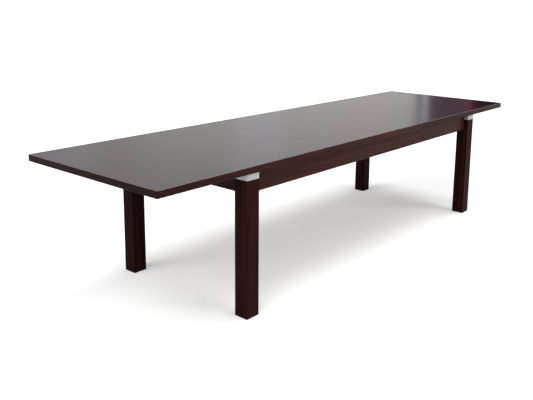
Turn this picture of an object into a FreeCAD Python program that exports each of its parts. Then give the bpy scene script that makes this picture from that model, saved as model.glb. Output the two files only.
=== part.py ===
"""Extending dining table, shown extended with both leaves in place.

A fixed frame of four legs and four aprons carries a top of four panels. The two halves slide along
the frame on runners whose shoes run in guide channels, and the two leaves lie between them.

Millimetres. +X runs along the table to the right, +Y to the back, +Z up. The origin is on the floor,
below the middle of the extended top.
"""
import FreeCAD, Part
import math
import os
from FreeCAD import Vector

# The top
table_height = 780.0          # floor to the upper face of the top
top_width = 1000.0
top_thickness = 36.0
half_length = 1250.0
leaf_length = 470.0           # along the table
seam_gap = 0.6                # between neighbouring panels
panel_round = 2.0             # radius of the outer arrises
seam_bevel = 1.5              # bevel on the upper arrises along the seams

# The frame
end_overhang = 35.0           # of the closed top past the legs
side_overhang = 15.0
frame_shift = 50.0            # how far the frame's middle stands to the right of the top's middle
leg_side = 84.0
leg_round = 1.5
leg_foot_bevel = 1.2
collar_height = 35.0
collar_wall = 4.0
collar_fit = 0.2              # clearance between collar and tenon
collar_headroom = 0.5         # clearance between collar and top
apron_height = 109.0
apron_thickness = 24.0
apron_setback = 30.0          # apron face behind leg face
apron_round = 2.0
glide_strip_height = 2.0
glide_strip_width = 14.0
glide_strip_inset = 10.0      # from the ends of the apron
cross_rail_height = 56.0
cross_rail_thickness = 24.0
cross_rail_spacing = 620.0
cross_rail_lift = 6.0         # above the lower edge of the apron
foot_height = 2.0
foot_diameter = 44.0
foot_bevel = 1.0
foot_pin_diameter = 6.0
foot_pin_length = 18.0

# Corner plates and leg bolts
corner_plate_thickness = 2.5
corner_plate_height = 56.0
corner_plate_lift = 8.0       # above the lower edge of the apron
corner_plate_flange = 36.0
corner_plate_reach = 42.0     # from the leg's face to the bend
bolt_seat = 22.0              # size of the bevel cut in the leg's inner corner
bolt_seat_margin = 6.0        # of the bevel past the corner plate, above and below
bolt_diameter = 8.0
bolt_depth = 42.0             # in the leg
bolt_end = 5.0                # past the nut
bolt_bevel = 1.0
bolt_spacing = 30.0
nut_across_flats = 13.0
nut_height = 6.5
nut_washer_diameter = 18.0
nut_washer_thickness = 1.5

# Guide channels, stops, runners and shoes
channel_height = 34.0
channel_depth = 22.0
channel_wall = 3.0
channel_lip = 5.0
channel_headroom = 4.0        # between channel and top
channel_end_gap = 2.0         # between channel and leg
stop_length = 20.0
stop_fit = 0.3
stop_clearance = 0.5          # left between shoe and stop at full travel
spare_travel = 45.0           # of the left half, past where it stands here
runner_width = 30.0
runner_height = 42.0
runner_setback = 60.0         # from the half's inner edge
runner_bevel = 4.0
runner_channel_gap = 3.0
shoe_length = 62.0
shoe_clearance = 0.4
shoe_bevel = 3.0

# Screws
runner_screw_count = 3
runner_screw_inset = 40.0
screw_diameter = 4.5
screw_head_diameter = 10.0
screw_head_height = 3.5
screw_head_bevel = 1.0
screw_bore_depth = 18.0       # of the counterbore in the runner
screw_bore_diameter = 12.0
screw_bite = 22.0             # into the panel or the apron
channel_screw_count = 5
channel_screw_inset = 150.0
channel_screw_bite = 16.0
countersink_depth = 2.2
countersink_diameter = 8.4

# Leaf battens
batten_width = 44.0
batten_height = 25.0
batten_inset = 95.0           # from the leaf's edge to the batten's middle
batten_side_play = 1.0        # between batten and channel
batten_bevel = 5.0

# Catches
catch_offset = 220.0          # from the table's middle
catch_plate_length = 36.0
catch_plate_width = 26.0
catch_plate_thickness = 2.0
catch_plate_round = 5.0
pivot_setback = 32.0          # from the seam to the lever's pivot
keeper_setback = 22.0         # from the seam to the keeper's pin
pivot_diameter = 6.0
pivot_head_diameter = 12.0
pivot_head_height = 1.8
lever_thickness = 3.0
lever_clearance = 0.3
lever_eye_radius = 10.0
lever_head_half_width = 12.0
lever_nose = 13.0             # past the keeper's pin
lever_shoulder = 6.0          # past the keeper's pin, where the nose starts to round
lever_mouth_angle = 25.0
lever_knob_diameter = 9.0
lever_knob_height = 8.0
lever_knob_place = 0.5        # share of the way from the pivot to the keeper
keeper_play = 0.5
keeper_pin_length = 5.5

# Running and clamping fits
hole_fit = 0.15

# Heights that follow
underside_z = table_height - top_thickness
apron_top_z = underside_z - glide_strip_height
apron_bottom_z = apron_top_z - apron_height
collar_top_z = underside_z - collar_headroom
shoulder_z = collar_top_z - collar_height
plate_bottom_z = apron_bottom_z + corner_plate_lift
plate_top_z = plate_bottom_z + corner_plate_height
channel_top_z = underside_z - channel_headroom
channel_bottom_z = channel_top_z - channel_height

# Lengths and places that follow, measured from the frame's middle
frame_length = 2 * half_length - 2 * end_overhang
frame_width = top_width - 2 * side_overhang
leg_inner_x = frame_length / 2 - leg_side
leg_inner_y = frame_width / 2 - leg_side
apron_outer_x = frame_length / 2 - apron_setback
apron_outer_y = frame_width / 2 - apron_setback
apron_inner_x = apron_outer_x - apron_thickness
apron_inner_y = apron_outer_y - apron_thickness
channel_face_y = apron_inner_y - channel_depth
channel_end_x = leg_inner_x - channel_end_gap
runner_outer_y = channel_face_y - runner_channel_gap
runner_inner_y = runner_outer_y - runner_width
opening = 2 * leaf_length + 3 * seam_gap
left_pull = opening / 2 + frame_shift
full_pull = left_pull + spare_travel
stop_face_x = channel_end_x - stop_length
runner_length = stop_face_x - stop_clearance - full_pull - runner_setback

# Places along the table, measured from the top's middle
middle_seam = seam_gap / 2
leaf_outer = middle_seam + leaf_length
half_inner = leaf_outer + seam_gap
half_outer = half_inner + half_length

# Levels of a catch, below the top
lever_top = catch_plate_thickness + lever_clearance
lever_bottom = lever_top + lever_thickness
pivot_head_top = lever_bottom + lever_clearance
catch_reach = pivot_setback + keeper_setback


def block(low, high):
    """Box between two corners."""
    size = [high[i] - low[i] for i in range(3)]
    return Part.makeBox(size[0], size[1], size[2], Vector(*low))


def profile_solid(points, along):
    """Closed polygon swept along a vector."""
    corners = [Vector(*p) for p in points]
    wire = Part.makePolygon(corners + corners[:1])
    return Part.Face(wire).extrude(Vector(*along))


def edges_where(shape, test):
    """Edges whose middle and direction pass a test."""
    chosen = []
    for edge in shape.Edges:
        ends = [v.Point for v in edge.Vertexes]
        if len(ends) == 2 and test((ends[0] + ends[1]) * 0.5, ends[1] - ends[0]):
            chosen.append(edge)
    return chosen


def runs_along(direction, axis):
    """True where an edge lies along one axis."""
    return abs(direction.normalize()[axis]) > 0.999


def same(a, b):
    return abs(a - b) < 1e-4


def rounded_plate(center_x, length, width, top, thickness, radius):
    """Flat plate with rounded corners, hung below a level."""
    low = (center_x - length / 2, -width / 2, top - thickness)
    high = (center_x + length / 2, width / 2, top)
    plate = block(low, high)
    return plate.makeFillet(radius, edges_where(plate, lambda m, d: runs_along(d, 2)))


def on_frame(shape):
    """Move a piece from the frame's middle to the table's origin."""
    return shape.translated(Vector(frame_shift, 0, 0))


def at_corner(shape, angle, sign_x, sign_y):
    """Turn a piece made round a leg's middle, with its inner corner at +X +Y, into its corner."""
    turned = shape.rotated(Vector(0, 0, 0), Vector(0, 0, 1), angle)
    place = Vector(sign_x * (frame_length - leg_side) / 2, sign_y * (frame_width - leg_side) / 2, 0)
    return on_frame(turned.translated(place))


def mirrored_y(shape):
    """Copy of a piece on the other side of the table's long middle plane."""
    return shape.mirror(Vector(0, 0, 0), Vector(0, 1, 0))


CORNERS = {
    "front_left": (0, -1, -1),
    "front_right": (90, 1, -1),
    "back_right": (180, 1, 1),
    "back_left": (270, -1, 1),
}
DIAGONAL = Vector(1, 1, 0) / math.sqrt(2)
UP = Vector(0, 0, 1)


def bolt_levels():
    middle = (plate_bottom_z + plate_top_z) / 2
    return [middle - bolt_spacing / 2, middle + bolt_spacing / 2]


def plate_face_distance():
    """From the leg's middle to the outer face of the corner plate, along the diagonal."""
    apron_face = apron_setback + apron_thickness - leg_side / 2
    bend = leg_side / 2 + corner_plate_reach
    return (apron_face + bend) / math.sqrt(2) + corner_plate_thickness


def seat_distance():
    """From the leg's middle to the bevel that the bolts enter, along the diagonal."""
    return (leg_side - bolt_seat) / math.sqrt(2)


def make_leg():
    """Square leg with eased arrises, a tenon for the collar and a bevelled inner corner for the bolts."""
    half = leg_side / 2
    square = block((-half, -half, foot_height), (half, half, shoulder_z))
    eased = square.makeFillet(leg_round, edges_where(square, lambda m, d: runs_along(d, 2)))
    bevelled = square.makeChamfer(leg_foot_bevel, edges_where(square, lambda m, d: same(m.z, foot_height)))
    leg = eased.common(bevelled)
    tenon = half - collar_wall - collar_fit
    leg = leg.fuse(block((-tenon, -tenon, shoulder_z), (tenon, tenon, collar_top_z)))
    corner = half + leg_round
    seat_low = plate_bottom_z - bolt_seat_margin
    seat = profile_solid(
        [(half - bolt_seat, half, seat_low), (half - bolt_seat, corner, seat_low),
         (corner, corner, seat_low), (corner, half - bolt_seat, seat_low),
         (half, half - bolt_seat, seat_low)],
        (0, 0, corner_plate_height + 2 * bolt_seat_margin))
    leg = leg.cut(seat)
    for level in bolt_levels():
        start = DIAGONAL * seat_distance() + UP * level
        leg = leg.cut(Part.makeCylinder(bolt_diameter / 2 + hole_fit, bolt_depth, start, -DIAGONAL))
    pin_hole = Part.makeCylinder(foot_pin_diameter / 2 + hole_fit, foot_pin_length, UP * foot_height, UP)
    return leg.cut(pin_hole).removeSplitter()


def make_collar():
    """Square metal sleeve round the leg's tenon."""
    half = leg_side / 2
    collar = block((-half, -half, shoulder_z), (half, half, collar_top_z))
    collar = collar.makeFillet(leg_round, edges_where(collar, lambda m, d: runs_along(d, 2)))
    inner = half - collar_wall
    return collar.cut(block((-inner, -inner, shoulder_z), (inner, inner, collar_top_z)))


def make_foot_glide():
    """Low round glide with a pin that is driven into the leg."""
    glide = Part.makeCylinder(foot_diameter / 2, foot_height)
    glide = glide.makeChamfer(foot_bevel, [e for e in glide.Edges if same(e.BoundBox.ZMax, 0)])
    return glide.fuse(Part.makeCylinder(foot_pin_diameter / 2, foot_pin_length, UP * foot_height, UP))


def make_corner_plate():
    """Folded steel plate across the corner, with a flange on each apron."""
    face = apron_setback + apron_thickness - leg_side / 2
    bend = leg_side / 2 + corner_plate_reach
    end = bend + corner_plate_flange
    t = corner_plate_thickness
    fold = bend + t * math.sqrt(2) - t
    z = plate_bottom_z
    outline = [(end, face, z), (bend, face, z), (face, bend, z), (face, end, z),
               (face + t, end, z), (face + t, fold, z), (fold, face + t, z), (end, face + t, z)]
    plate = profile_solid(outline, (0, 0, corner_plate_height))
    for level in bolt_levels():
        start = DIAGONAL * seat_distance() + UP * level
        plate = plate.cut(Part.makeCylinder(bolt_diameter / 2 + hole_fit, 2 * end, start, DIAGONAL))
    return plate


def make_leg_bolt(level):
    """Hanger bolt: its inner end bottoms in the leg, its outer end stands through the nut."""
    inner = seat_distance() - bolt_depth
    outer = plate_face_distance() + nut_height + bolt_end
    bolt = Part.makeCylinder(bolt_diameter / 2, outer - inner, DIAGONAL * inner + UP * level, DIAGONAL)
    tip = DIAGONAL * outer + UP * level
    rims = [edge for edge in bolt.Edges if edge.CenterOfMass.distanceToPoint(tip) < bolt_bevel]
    return bolt.makeChamfer(bolt_bevel, rims)


def make_leg_nut(level):
    """Hexagon nut with a washer face, set against the corner plate."""
    corner_radius = nut_across_flats / math.sqrt(3)
    angles = [math.radians(60 * i) for i in range(6)]
    hexagon = [(corner_radius * math.cos(a), corner_radius * math.sin(a), 0) for a in angles]
    nut = profile_solid(hexagon, (0, 0, nut_height))
    nut = nut.fuse(Part.makeCylinder(nut_washer_diameter / 2, nut_washer_thickness))
    nut = nut.cut(Part.makeCylinder(bolt_diameter / 2 + hole_fit, nut_height))
    nut.Placement = FreeCAD.Placement(DIAGONAL * plate_face_distance() + UP * level,
                                      FreeCAD.Rotation(UP, DIAGONAL))
    return nut


def make_long_apron():
    """Front apron, between the two front legs."""
    apron = block((-leg_inner_x, -apron_outer_y, apron_bottom_z), (leg_inner_x, -apron_inner_y, apron_top_z))
    lower = edges_where(apron, lambda m, d: runs_along(d, 0) and same(m.z, apron_bottom_z))
    apron = apron.makeFillet(apron_round, lower)
    for place in channel_screw_places():
        apron = apron.cut(channel_screw_hole(place))
    return apron


def make_end_apron():
    """Left apron, between the two left legs."""
    apron = block((-apron_outer_x, -leg_inner_y, apron_bottom_z), (-apron_inner_x, leg_inner_y, apron_top_z))
    lower = edges_where(apron, lambda m, d: runs_along(d, 1) and same(m.z, apron_bottom_z))
    return apron.makeFillet(apron_round, lower)


def make_long_glide_strip():
    """Low friction strip along the top of the front apron."""
    middle = -(apron_outer_y + apron_inner_y) / 2
    reach = leg_inner_x - glide_strip_inset
    return block((-reach, middle - glide_strip_width / 2, apron_top_z),
                 (reach, middle + glide_strip_width / 2, underside_z))


def make_end_glide_strip():
    """Low friction strip along the top of the left apron."""
    middle = -(apron_outer_x + apron_inner_x) / 2
    reach = leg_inner_y - glide_strip_inset
    return block((middle - glide_strip_width / 2, -reach, apron_top_z),
                 (middle + glide_strip_width / 2, reach, underside_z))


def make_cross_rail(place):
    """Board on edge between the long aprons, below the runners."""
    low_z = apron_bottom_z + cross_rail_lift
    rail = block((place - cross_rail_thickness / 2, -apron_inner_y, low_z),
                 (place + cross_rail_thickness / 2, apron_inner_y, low_z + cross_rail_height))
    return rail.makeFillet(apron_round, edges_where(rail, lambda m, d: runs_along(d, 1)))


def make_channel():
    """Lipped guide channel inside the front apron, open towards the table's middle."""
    back = -apron_inner_y
    face = -channel_face_y
    w = channel_wall
    low = channel_bottom_z
    high = channel_top_z
    lip = w + channel_lip
    x = -channel_end_x
    section = [(x, back, low), (x, face, low), (x, face, low + lip), (x, face - w, low + lip),
               (x, face - w, low + w), (x, back + w, low + w), (x, back + w, high - w),
               (x, face - w, high - w), (x, face - w, high - lip), (x, face, high - lip),
               (x, face, high), (x, back, high)]
    channel = profile_solid(section, (2 * channel_end_x, 0, 0))
    for place in channel_screw_places():
        channel = channel.cut(channel_screw_hole(place))
    return channel


def channel_screw_places():
    reach = channel_end_x - channel_screw_inset
    step = 2 * reach / (channel_screw_count - 1)
    return [-reach + step * i for i in range(channel_screw_count)]


def countersunk(place, clearance):
    """Countersunk screw, or its hole, from the channel's floor into the front apron."""
    face = Vector(place, -apron_inner_y + channel_wall, (channel_bottom_z + channel_top_z) / 2)
    outwards = Vector(0, -1, 0)
    shank = screw_diameter / 2 + clearance
    head = countersink_diameter / 2 + clearance
    length = channel_wall + channel_screw_bite
    cone = Part.makeCone(head, shank, countersink_depth, face, outwards)
    return cone.fuse(Part.makeCylinder(shank, length, face, outwards)).removeSplitter()


def channel_screw_hole(place):
    return countersunk(place, hole_fit)


def make_channel_screw(place):
    return countersunk(place, 0)


def make_channel_stop():
    """Stop block in the left end of the front channel."""
    back = -apron_inner_y + channel_wall
    face = -channel_face_y - channel_wall - stop_fit
    low = channel_bottom_z + channel_wall + stop_fit
    high = channel_top_z - channel_wall - stop_fit
    return block((-channel_end_x, back, low), (-stop_face_x, face, high))


def make_panel(inner, outer, seams):
    """Top panel between two places along the table, with a bevel along each of its seams."""
    side = top_width / 2
    low, high = min(inner, outer), max(inner, outer)
    panel = block((low, -side, underside_z), (high, side, table_height))

    def outside(m, d):
        on_side = runs_along(d, 0)
        on_end = any(same(m.x, x) for x in (low, high) if x not in seams)
        return on_side or on_end

    panel = panel.makeFillet(panel_round, edges_where(panel, outside))

    def along_seam(m, d):
        return runs_along(d, 1) and same(m.z, table_height) and any(same(m.x, x) for x in seams)

    return panel.makeChamfer(seam_bevel, edges_where(panel, along_seam))


def runner_screw_places():
    """Along the left runner, from the half's inner edge outwards."""
    first = half_inner + runner_setback + runner_screw_inset
    step = (runner_length - 2 * runner_screw_inset) / (runner_screw_count - 1)
    return [-(first + step * i) for i in range(runner_screw_count)]


def runner_screw(place, side, clearance, length):
    """Shank from the counterbore up into the panel."""
    seat_z = underside_z - runner_height + screw_bore_depth
    y = side * (runner_outer_y + runner_inner_y) / 2
    return Part.makeCylinder(screw_diameter / 2 + clearance, length, Vector(place, y, seat_z), UP)


def runner_screw_length():
    return runner_height - screw_bore_depth + screw_bite


def make_half_panel():
    """Left half of the top, with pilot holes for its runners."""
    panel = make_panel(-half_inner, -half_outer, [-half_inner])
    for side in (-1, 1):
        for place in runner_screw_places():
            panel = panel.cut(runner_screw(place, side, hole_fit, runner_screw_length()))
    return panel


def make_runner(side):
    """Batten under the left half, bevelled below, with counterbored screw holes."""
    near, far = sorted((side * runner_inner_y, side * runner_outer_y))
    start = -(half_inner + runner_setback + runner_length)
    bottom = underside_z - runner_height
    runner = block((start, near, bottom), (start + runner_length, far, underside_z))
    inside = side * runner_inner_y
    lower = edges_where(runner, lambda m, d: same(m.z, bottom) and (runs_along(d, 1) or same(m.y, inside)))
    runner = runner.makeChamfer(runner_bevel, lower)
    for place in runner_screw_places():
        y = side * (runner_outer_y + runner_inner_y) / 2
        bore = Part.makeCylinder(screw_bore_diameter / 2, screw_bore_depth, Vector(place, y, bottom), UP)
        runner = runner.cut(bore)
        runner = runner.cut(runner_screw(place, side, hole_fit, runner_screw_length()))
    return runner


def make_runner_screw(place, side):
    """Pan headed screw, its head against the counterbore's seat."""
    shank = runner_screw(place, side, 0, runner_screw_length())
    seat_z = underside_z - runner_height + screw_bore_depth
    y = side * (runner_outer_y + runner_inner_y) / 2
    head = Part.makeCylinder(screw_head_diameter / 2, screw_head_height, Vector(place, y, seat_z), -UP)
    low = [e for e in head.Edges if same(e.BoundBox.ZMax, seat_z - screw_head_height)]
    return head.makeChamfer(screw_head_bevel, low).fuse(shank)


def make_shoe(end):
    """Shoe on the front runner of the left half: a head inside the channel and a neck between its lips."""
    c = shoe_clearance
    back = -apron_inner_y + channel_wall + c
    lips = -channel_face_y - channel_wall - c
    runner = -runner_outer_y
    low = channel_bottom_z + channel_wall + c
    high = channel_top_z - channel_wall - c
    neck_low = low + channel_lip
    neck_high = high - channel_lip
    outer = -(half_inner + runner_setback + runner_length)
    start = outer if end == "outer" else outer + runner_length - shoe_length
    section = [(start, back, low), (start, lips, low), (start, lips, neck_low), (start, runner, neck_low),
               (start, runner, neck_high), (start, lips, neck_high), (start, lips, high), (start, back, high)]
    shoe = profile_solid(section, (shoe_length, 0, 0))
    corners = edges_where(shoe, lambda m, d: runs_along(d, 2) and same(m.y, back))
    return shoe.makeChamfer(shoe_bevel, corners)


def make_battens():
    """Two battens under the left leaf, whose ends locate it between the channels."""
    reach = channel_face_y - batten_side_play
    bottom = underside_z - batten_height
    battens = []
    for middle in (-middle_seam - batten_inset, -leaf_outer + batten_inset):
        low = (middle - batten_width / 2, -reach, bottom)
        high = (middle + batten_width / 2, reach, underside_z)
        batten = block(low, high)
        lower = edges_where(batten, lambda m, d: same(m.z, bottom))
        battens.append(batten.makeChamfer(batten_bevel, lower))
    return battens


def make_catch_base():
    """Plate with a headed pivot. The seam is at x = 0 and the keeper's panel at +X."""
    plate = rounded_plate(-pivot_setback, catch_plate_length, catch_plate_width, underside_z,
                          catch_plate_thickness, catch_plate_round)
    pivot_top = Vector(-pivot_setback, 0, underside_z - catch_plate_thickness)
    pivot = Part.makeCylinder(pivot_diameter / 2, pivot_head_top - catch_plate_thickness, pivot_top, -UP)
    head_place = Vector(-pivot_setback, 0, underside_z - pivot_head_top)
    head = Part.makeCylinder(pivot_head_diameter / 2, pivot_head_height, head_place, -UP)
    return plate.fuse([pivot, head])


def make_catch_lever():
    """Hook lever, open: it lies along the seam and swings a quarter turn towards the keeper."""
    eye = lever_eye_radius
    shoulder = catch_reach + lever_shoulder
    wide = lever_head_half_width
    nose = catch_reach + lever_nose
    outline = [
        Part.Arc(Vector(0, eye, 0), Vector(-eye, 0, 0), Vector(0, -eye, 0)).toShape(),
        Part.LineSegment(Vector(0, -eye, 0), Vector(shoulder, -wide, 0)).toShape(),
        Part.Arc(Vector(shoulder, -wide, 0), Vector(nose, 0, 0), Vector(shoulder, wide, 0)).toShape(),
        Part.LineSegment(Vector(shoulder, wide, 0), Vector(0, eye, 0)).toShape(),
    ]
    lever = Part.Face(Part.Wire(outline)).extrude(-UP * lever_thickness)
    eye_hole = pivot_diameter / 2 + lever_clearance
    lever = lever.cut(Part.makeCylinder(eye_hole, lever_thickness, Vector(0, 0, 0), -UP))
    lever = lever.cut(make_lever_mouth())
    knob_place = Vector(catch_reach * lever_knob_place, 0, -lever_thickness)
    lever = lever.fuse(Part.makeCylinder(lever_knob_diameter / 2, lever_knob_height, knob_place, -UP))
    lever = lever.rotated(Vector(0, 0, 0), UP, 90)
    return lever.translated(Vector(-pivot_setback, 0, underside_z - lever_top))


def make_lever_mouth():
    """Curved slot of the hook, on a circle round the pivot, open on the side that meets the pin."""
    slot = pivot_diameter / 2 + keeper_play
    inner = catch_reach - slot
    outer = catch_reach + slot

    def on_circle(radius, degrees):
        angle = math.radians(degrees)
        return Vector(radius * math.cos(angle), radius * math.sin(angle), 0)

    mouth = -lever_mouth_angle
    edges = [
        Part.Arc(on_circle(outer, mouth), on_circle(outer, mouth / 2), on_circle(outer, 0)).toShape(),
        Part.Arc(on_circle(outer, 0), Vector(catch_reach, slot, 0), on_circle(inner, 0)).toShape(),
        Part.Arc(on_circle(inner, 0), on_circle(inner, mouth / 2), on_circle(inner, mouth)).toShape(),
        Part.LineSegment(on_circle(inner, mouth), on_circle(outer, mouth)).toShape(),
    ]
    return Part.Face(Part.Wire(edges)).extrude(-UP * lever_thickness)


def make_keeper():
    """Plate with the pin that the hook takes."""
    plate = rounded_plate(keeper_setback, catch_plate_length, catch_plate_width, underside_z,
                          catch_plate_thickness, catch_plate_round)
    pin_place = Vector(keeper_setback, 0, underside_z - catch_plate_thickness)
    return plate.fuse(Part.makeCylinder(pivot_diameter / 2, keeper_pin_length, pin_place, -UP))


def at_seam(shape, seam, side, turn):
    """Place a catch piece at a seam, in front or behind, turned so that its keeper is left or right."""
    turned = shape.rotated(Vector(0, 0, 0), UP, turn)
    return turned.translated(Vector(seam, side * catch_offset, 0))


# Seams from left to right, with the turn that points a catch from its base to its keeper
LEFT_SEAM = (-(leaf_outer + seam_gap / 2), 0)
MIDDLE_SEAM = (0.0, 0)
RIGHT_SEAM = (leaf_outer + seam_gap / 2, 180)


def catch_pair(shape, seam):
    """Front and back copies of a catch piece at one seam."""
    return [at_seam(shape, seam[0], side, seam[1]) for side in (-1, 1)]


def frame_nodes():
    """Legs, collars, aprons, rails and the fixed side of the guides."""
    nodes = {}
    leg, collar, glide, plate = make_leg(), make_collar(), make_foot_glide(), make_corner_plate()
    bolts, nuts = [], []
    for name, corner in CORNERS.items():
        nodes["leg_" + name] = at_corner(leg, *corner)
        nodes["collar_" + name] = at_corner(collar, *corner)
        nodes["foot_glide_" + name] = at_corner(glide, *corner)
        nodes["corner_plate_" + name] = at_corner(plate, *corner)
        bolts += [at_corner(make_leg_bolt(level), *corner) for level in bolt_levels()]
        nuts += [at_corner(make_leg_nut(level), *corner) for level in bolt_levels()]
    nodes["leg_bolts"] = bolts
    nodes["leg_nuts"] = nuts

    sides = {
        "apron": make_long_apron(),
        "glide_strip": make_long_glide_strip(),
        "guide_channel": make_channel(),
    }
    for name, shape in sides.items():
        nodes[name + "_front"] = on_frame(shape)
        nodes[name + "_back"] = on_frame(mirrored_y(shape))
    ends = {"apron": make_end_apron(), "glide_strip": make_end_glide_strip()}
    for name, shape in ends.items():
        nodes[name + "_left"] = on_frame(shape)
        nodes[name + "_right"] = on_frame(shape.mirror(Vector(0, 0, 0), Vector(1, 0, 0)))
    for name, place in (("left", -cross_rail_spacing), ("middle", 0), ("right", cross_rail_spacing)):
        nodes["cross_rail_" + name] = on_frame(make_cross_rail(place))

    screws = [on_frame(make_channel_screw(place)) for place in channel_screw_places()]
    nodes["channel_screws"] = screws + [mirrored_y(screw) for screw in screws]
    stop = make_channel_stop()
    stops = [stop, stop.mirror(Vector(0, 0, 0), Vector(1, 0, 0))]
    stops = [on_frame(shape) for shape in stops]
    nodes["channel_stops"] = stops + [mirrored_y(shape) for shape in stops]
    return nodes


def half_nodes():
    """The two sliding halves: the right one is the left one turned half round."""
    screws = [make_runner_screw(place, side) for side in (-1, 1) for place in runner_screw_places()]
    left = {
        "panel": make_half_panel(),
        "runner_front": make_runner(-1),
        "runner_back": make_runner(1),
        "runner_screws": screws,
        "shoes": [make_shoe("outer"), make_shoe("inner")],
        "catch_bases": catch_pair(make_catch_base(), LEFT_SEAM),
    }
    left["shoes"] += [mirrored_y(shoe) for shoe in left["shoes"]]
    opposite = {"runner_front": "runner_back", "runner_back": "runner_front"}
    nodes = {}
    for name, shape in left.items():
        nodes["left_half_" + name] = shape
        solids = shape if isinstance(shape, list) else [shape]
        turned = [solid.rotated(Vector(0, 0, 0), UP, 180) for solid in solids]
        nodes["right_half_" + opposite.get(name, name)] = turned
    return nodes


def leaf_nodes():
    """The two leaves with their battens and catch plates."""
    battens = make_battens()
    keeper = make_keeper()
    return {
        "leaf_left_panel": make_panel(-middle_seam, -leaf_outer, [-middle_seam, -leaf_outer]),
        "leaf_left_battens": battens,
        "leaf_left_keepers": catch_pair(keeper, LEFT_SEAM),
        "leaf_left_catch_bases": catch_pair(make_catch_base(), MIDDLE_SEAM),
        "leaf_right_panel": make_panel(middle_seam, leaf_outer, [middle_seam, leaf_outer]),
        "leaf_right_battens": [batten.mirror(Vector(0, 0, 0), Vector(1, 0, 0)) for batten in battens],
        "leaf_right_keepers": catch_pair(keeper, MIDDLE_SEAM) + catch_pair(keeper, RIGHT_SEAM),
    }


def lever_nodes():
    """One hook lever a catch."""
    nodes = {}
    lever = make_catch_lever()
    for name, seam in (("left", LEFT_SEAM), ("middle", MIDDLE_SEAM), ("right", RIGHT_SEAM)):
        front, back = catch_pair(lever, seam)
        nodes["catch_lever_" + name + "_front"] = front
        nodes["catch_lever_" + name + "_back"] = back
    return nodes


def main():
    os.makedirs("parts", exist_ok=True)
    for nodes in (frame_nodes(), half_nodes(), leaf_nodes(), lever_nodes()):
        for name, shape in nodes.items():
            solid = Part.makeCompound(shape) if isinstance(shape, list) else shape
            solid.exportStep("parts/" + name + ".step")
            print(name, len(solid.Solids), "solids, valid:", solid.isValid(), "volume", round(solid.Volume))


main()
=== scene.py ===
# %% [markdown]
# # An extending dining table
# The table stands with its two leaves in: a left half, two leaves and a right half lie on a
# frame of four square legs and four aprons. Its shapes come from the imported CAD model, which is
# loaded here as a fixed frame. Blender models the boards of the top again, and adds the finishes,
# the small screws and the light.

# %% Load the frame
import math

import bmesh
import bpy
from mathutils import Matrix, Vector


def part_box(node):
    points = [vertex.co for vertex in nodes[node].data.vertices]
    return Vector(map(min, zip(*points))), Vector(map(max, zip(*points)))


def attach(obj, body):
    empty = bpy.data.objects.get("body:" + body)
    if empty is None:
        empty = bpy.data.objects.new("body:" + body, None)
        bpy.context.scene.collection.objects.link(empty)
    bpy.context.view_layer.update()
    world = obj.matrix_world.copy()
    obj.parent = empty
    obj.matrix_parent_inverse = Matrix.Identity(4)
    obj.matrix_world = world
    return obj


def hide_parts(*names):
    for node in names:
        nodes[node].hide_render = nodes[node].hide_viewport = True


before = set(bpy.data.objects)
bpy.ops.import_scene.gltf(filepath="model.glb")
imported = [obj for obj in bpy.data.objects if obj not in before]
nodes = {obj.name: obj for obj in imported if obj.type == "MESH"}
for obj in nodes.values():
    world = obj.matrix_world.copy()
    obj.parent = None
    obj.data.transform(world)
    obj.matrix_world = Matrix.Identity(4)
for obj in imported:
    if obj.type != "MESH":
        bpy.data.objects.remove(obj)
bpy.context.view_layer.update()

# %% [markdown]
# ## The camera
# The photograph was taken a little above the table, from beyond its left end. A camera can be aimed by
# eye, but here its place was worked out from the corners of the top and the feet of the legs, so
# every edge falls where it does in the photograph. The shift only puts the table at the same
# place in the picture.

# %% Camera
PHOTO_WIDTH, PHOTO_HEIGHT = 533, 400
SENSOR_WIDTH = 36.0
FOCAL_PIXELS = 687.609
MIDDLE_PIXEL = (282.337, 134.390)
CAMERA_PLACE = Vector((-3.46428, -2.64598, 1.55552))
CAMERA_HEADING, CAMERA_TILT, CAMERA_ROLL = (math.radians(a) for a in (-49.741, 11.099, 0.652))

scene = bpy.context.scene
scene.view_settings.view_transform = "Standard"
camera_data = bpy.data.cameras.new("camera")
camera_data.sensor_width = SENSOR_WIDTH
camera_data.lens = FOCAL_PIXELS / PHOTO_WIDTH * SENSOR_WIDTH
camera_data.shift_x = (PHOTO_WIDTH / 2 - MIDDLE_PIXEL[0]) / PHOTO_WIDTH
camera_data.shift_y = (MIDDLE_PIXEL[1] - PHOTO_HEIGHT / 2) / PHOTO_WIDTH
camera = bpy.data.objects.new("camera", camera_data)
camera.matrix_world = (
    Matrix.Translation(CAMERA_PLACE)
    @ Matrix.Rotation(CAMERA_HEADING, 4, "Z")
    @ Matrix.Rotation(math.pi / 2 - CAMERA_TILT, 4, "X")
    @ Matrix.Rotation(CAMERA_ROLL, 4, "Z")
)
scene.collection.objects.link(camera)
scene.camera = camera
print("lens:", round(camera_data.lens, 2), "mm")

# %% [markdown]
# ## Nodes
# A material is a small graph of nodes. It could be wired by hand in the shader editor, but a script
# gives the same graph each time. One helper adds a node and fills in its sockets by name, one draws
# a wire or sets a number, and two more do arithmetic and mix colours. The Mix node keeps a set of
# sockets for each kind of value, so those for colours are picked by their places.

# %% Node helpers
MIX_FACTOR, MIX_FIRST, MIX_SECOND, MIX_RESULT = 0, 6, 7, 2


def add_node(tree, kind, values=None, **settings):
    """A new node, with its settings as attributes and its sockets filled from values."""
    node = tree.nodes.new(kind)
    for key, value in settings.items():
        setattr(node, key, value)
    for key, value in (values or {}).items():
        node.inputs[key].default_value = value
    return node


def plug(tree, value, socket):
    """Puts a number or a colour in a socket, or draws a wire to it from another node's output."""
    if isinstance(value, bpy.types.NodeSocket):
        tree.links.new(value, socket)
    else:
        socket.default_value = value


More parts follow.
